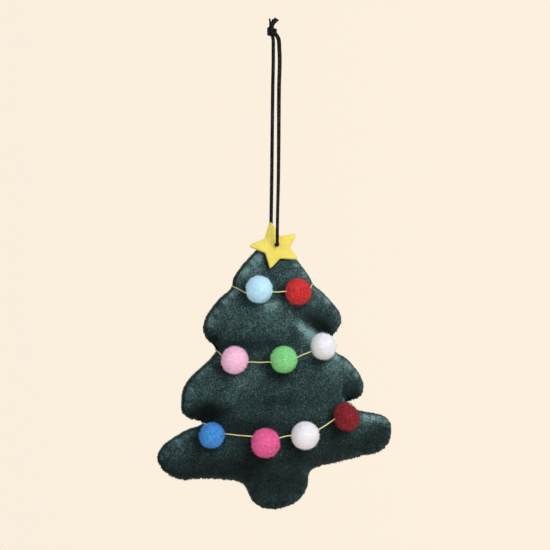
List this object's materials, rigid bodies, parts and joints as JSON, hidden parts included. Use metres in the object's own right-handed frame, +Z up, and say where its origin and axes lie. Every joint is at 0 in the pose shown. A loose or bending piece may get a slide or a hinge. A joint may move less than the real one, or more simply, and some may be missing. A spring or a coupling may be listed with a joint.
{
  "type": "hanging christmas tree ornament",
  "caption": "Stuffed velvet tree with a felt star and pom poms strung on gold threads, hung from a knotted black cord loop.",
  "frame": {"origin": "where the cord loop rests on a branch or hook, at the inside of its crown", "axes": "+Z up along the hanging loop, -Y is the front with the pom poms, +X to the right seen from the front"},
  "size_m": [0.1026, 0.0409, 0.2125],
  "materials": {
    "velvet": "dark green velvet, short brushed pile",
    "fibre": "white polyester fibre filling",
    "sewing_thread": "dark green sewing thread",
    "felt": "yellow felt, 1.4 mm",
    "cord": "black waxed cord, 1.5 mm",
    "gold_thread": "pale gold metallic thread",
    "wool_light_blue": "fluffy yarn pom pom, matte",
    "wool_red": "fluffy yarn pom pom, matte",
    "wool_pink": "fluffy yarn pom pom, matte",
    "wool_green": "fluffy yarn pom pom, matte",
    "wool_white_upper": "fluffy yarn pom pom, matte",
    "wool_blue": "fluffy yarn pom pom, matte",
    "wool_hot_pink": "fluffy yarn pom pom, matte",
    "wool_white_lower": "fluffy yarn pom pom, matte",
    "wool_dark_red": "fluffy yarn pom pom, matte"
  },
  "bodies": {
    "hanging_loop": {"cord_front": "cord", "cord_rear": "cord", "cord_knot": "cord", "cord_tail_left": "cord", "cord_tail_right": "cord"},
    "cord_run": {"cord_through": "cord"},
    "tree": {"front_panel": "velvet", "back_panel": "velvet", "stuffing": "fibre", "seam_thread": "sewing_thread", "closing_stitches": "sewing_thread", "garland_top": "gold_thread", "garland_middle": "gold_thread", "garland_bottom": "gold_thread", "tie_top": "gold_thread", "tie_middle": "gold_thread", "tie_bottom": "gold_thread"},
    "star": {"star": "felt"},
    "pom_light_blue": {"pom_light_blue": "wool_light_blue"},
    "pom_red": {"pom_red": "wool_red"},
    "pom_pink": {"pom_pink": "wool_pink"},
    "pom_green": {"pom_green": "wool_green"},
    "pom_white_upper": {"pom_white_upper": "wool_white_upper"},
    "pom_blue": {"pom_blue": "wool_blue"},
    "pom_hot_pink": {"pom_hot_pink": "wool_hot_pink"},
    "pom_white_lower": {"pom_white_lower": "wool_white_lower"},
    "pom_dark_red": {"pom_dark_red": "wool_dark_red"}
  },
  "joints": [
    {"name": "loop_twist", "type": "hinge", "parent": "hanging_loop", "child": "cord_run", "pos_m": [-0.0012, 0, -0.089], "axis": [0, 0, 1], "range_deg": [-180, 180], "deforming": ["cord_front", "cord_rear"]},
    {"name": "tree_swing", "type": "hinge", "parent": "cord_run", "child": "tree", "pos_m": [-0.0012, 0, -0.089], "axis": [0, 1, 0], "range_deg": [-60, 60]},
    {"name": "star_turn", "type": "hinge", "parent": "tree", "child": "star", "pos_m": [-0.0012, -0.00595, -0.089], "axis": [0, -0.9397, 0.342], "continuous": true},
    {"name": "pom_light_blue_spin", "type": "hinge", "parent": "tree", "child": "pom_light_blue", "pos_m": [-0.01076, -0.01508, -0.10807], "axis": [0.9945, -0.0995, 0.0325], "continuous": true},
    {"name": "pom_red_spin", "type": "hinge", "parent": "tree", "child": "pom_red", "pos_m": [0.00639, -0.01537, -0.10912], "axis": [0.9767, 0.0995, 0.1903], "continuous": true},
    {"name": "pom_pink_spin", "type": "hinge", "parent": "tree", "child": "pom_pink", "pos_m": [-0.02175, -0.01638, -0.13839], "axis": [0.9338, -0.0995, -0.3438], "continuous": true},
    {"name": "pom_green_spin", "type": "hinge", "parent": "tree", "child": "pom_green", "pos_m": [-0.0008, -0.01947, -0.13815], "axis": [0.9891, 0.0018, 0.1472], "continuous": true},
    {"name": "pom_white_upper_spin", "type": "hinge", "parent": "tree", "child": "pom_white_upper", "pos_m": [0.01728, -0.01612, -0.13256], "axis": [0.9508, 0.0995, 0.2934], "continuous": true},
    {"name": "pom_blue_spin", "type": "hinge", "parent": "tree", "child": "pom_blue", "pos_m": [-0.0312, -0.01367, -0.17068], "axis": [0.8993, -0.0995, -0.4259], "continuous": true},
    {"name": "pom_hot_pink_spin", "type": "hinge", "parent": "tree", "child": "pom_hot_pink", "pos_m": [-0.00871, -0.01888, -0.17395], "axis": [0.9934, -0.098, 0.0597], "continuous": true},
    {"name": "pom_white_lower_spin", "type": "hinge", "parent": "tree", "child": "pom_white_lower", "pos_m": [0.00875, -0.01869, -0.1708], "axis": [0.9728, 0.0879, 0.2142], "continuous": true},
    {"name": "pom_dark_red_spin", "type": "hinge", "parent": "tree", "child": "pom_dark_red", "pos_m": [0.02765, -0.0156, -0.16322], "axis": [0.7941, 0.0995, 0.5995], "continuous": true}
  ]
}
